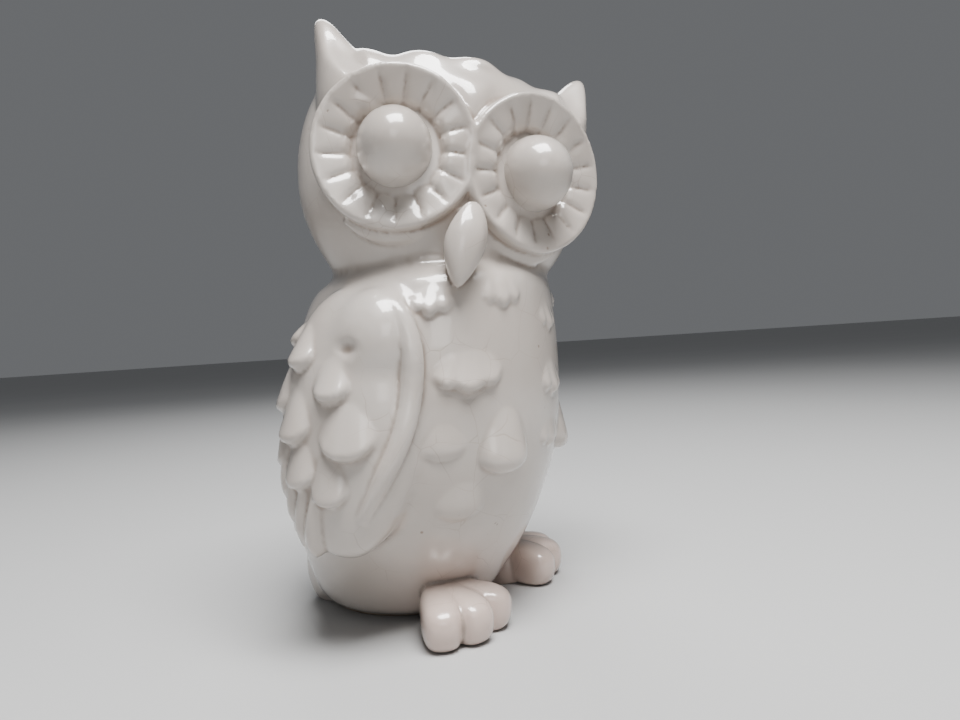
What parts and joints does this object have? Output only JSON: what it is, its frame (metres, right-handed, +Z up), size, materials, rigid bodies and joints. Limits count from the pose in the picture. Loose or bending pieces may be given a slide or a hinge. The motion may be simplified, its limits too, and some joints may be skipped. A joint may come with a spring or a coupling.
{
  "type": "owl figurine",
  "caption": "Free-standing glazed ceramic owl with its head turned, dished eye discs, folded wings, sprigged chest feathers and toed feet.",
  "frame": {"origin": "where the body's upright axis meets the surface that the figurine stands on, on the flat of the base", "axes": "+Z up; -Y is the way the chest faces; +X is the owl's left. The head is turned towards -X."},
  "size_m": [0.096, 0.0893, 0.1561],
  "materials": {
    "glaze": "glossy, finely crazed",
    "bisque": "matte, unglazed"
  },
  "bodies": {
    "root": {"body_shell": "glaze", "head_shell": "glaze", "right_eye_disc": "glaze", "left_eye_disc": "glaze", "right_eyeball": "glaze", "left_eyeball": "glaze", "right_ear": "glaze", "left_ear": "glaze", "beak": "glaze", "brow_ridge": "glaze", "crown_tufts": "glaze", "right_wing": "glaze", "left_wing": "glaze", "right_wing_coverts": "glaze", "left_wing_coverts": "glaze", "right_flight_feathers": "glaze", "left_flight_feathers": "glaze", "tail": "glaze", "right_foot": "glaze", "left_foot": "glaze", "chest_feathers": "glaze", "base_plate": "bisque"}
  },
  "joints": []
}
